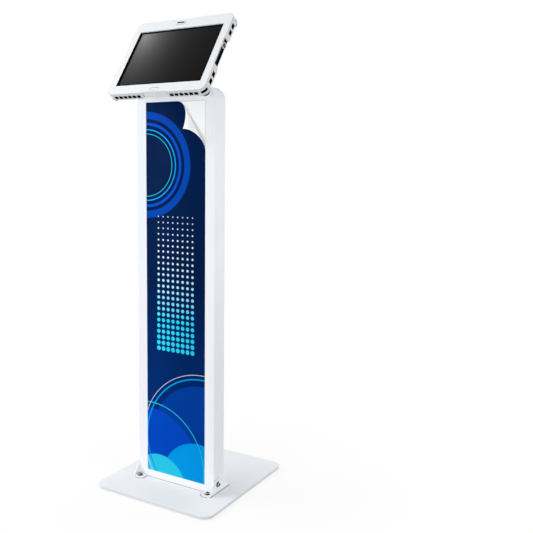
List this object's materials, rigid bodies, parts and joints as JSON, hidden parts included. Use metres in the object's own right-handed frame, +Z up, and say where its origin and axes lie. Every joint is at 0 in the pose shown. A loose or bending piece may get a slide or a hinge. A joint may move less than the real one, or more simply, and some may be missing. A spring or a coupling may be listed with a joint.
{
  "type": "tablet kiosk stand",
  "caption": "Floor stand on a plate base: a hollow post with a printed front panel, a rear cable compartment with a drop door, and a tilting, turning tablet enclosure.",
  "frame": {"origin": "on the floor under the middle of the base plate", "axes": "+Z up, the screen and the printed panel look along -Y, +X is at the right of a viewer who faces the screen"},
  "size_m": [0.304, 0.342, 1.0487],
  "materials": {
    "white_paint": "satin powder coat",
    "black_rubber": "matte",
    "printed_sheet": "satin print",
    "nickel": "plated",
    "steel": "brushed",
    "black_oxide": "blackened",
    "black_plastic": "fine grain",
    "dark_glass": "polished",
    "white_plastic": "gloss"
  },
  "bodies": {
    "stand": {"base_plate": "white_paint", "base_pads": "black_rubber", "post_frame": "white_paint", "front_panel": "white_paint", "panel_rails": "white_paint", "graphic_sheet": "printed_sheet", "foot_bracket_left": "white_paint", "foot_bracket_right": "white_paint", "foot_screws": "nickel", "ear_screws": "nickel", "cable_liner": "white_paint", "pocket_tall": "white_paint", "pocket_short": "white_paint", "power_adapter": "black_plastic", "adapter_plug": "black_plastic", "adapter_lead": "black_plastic", "cord_grommets": "black_rubber", "power_port": "black_plastic", "stud_socket": "black_plastic", "bolt_body": "nickel", "bolt_keeper": "nickel", "bolt_screws": "steel", "door_bushings": "black_plastic", "neck_bracket": "white_paint"},
    "bolt": {"bolt_rod": "steel"},
    "door": {"rear_door": "white_paint", "door_pins": "steel", "door_stud": "nickel"},
    "head": {"tilt_yoke": "white_paint", "tilt_bolt": "nickel", "tilt_washers": "black_plastic", "turn_disc": "white_paint", "turn_pin": "black_oxide"},
    "screen": {"mount_plate": "white_paint", "mount_screws": "nickel", "enclosure_rear": "white_paint", "enclosure_front": "white_paint", "corner_knobs": "black_plastic", "shell_screws": "nickel", "tablet_body": "black_plastic", "tablet_glass": "dark_glass", "tablet_foam": "black_rubber"},
    "key": {"home_key": "white_plastic"}
  },
  "joints": [
    {"name": "head_tilt", "type": "hinge", "parent": "stand", "child": "head", "pos_m": [0, -0.047, 0.936], "axis": [-1, 0, 0], "range_deg": [-14, 28]},
    {"name": "screen_turn", "type": "hinge", "parent": "head", "child": "screen", "pos_m": [0, -0.047, 0.936], "axis": [0, -0.809, 0.5878], "range_deg": [-90, 90]},
    {"name": "door_swing", "type": "hinge", "parent": "stand", "child": "door", "pos_m": [0, -0.0285, 0.3], "axis": [-1, 0, 0], "range_deg": [0, 90]},
    {"name": "bolt_slide", "type": "slide", "parent": "stand", "child": "bolt", "axis": [-1, 0, 0], "range_m": [0, 0.026]},
    {"name": "key_press", "type": "slide", "parent": "screen", "child": "key", "axis": [0, 0.809, -0.5878], "range_m": [0, 0.0006], "stiffness_N_per_m": 800}
  ]
}
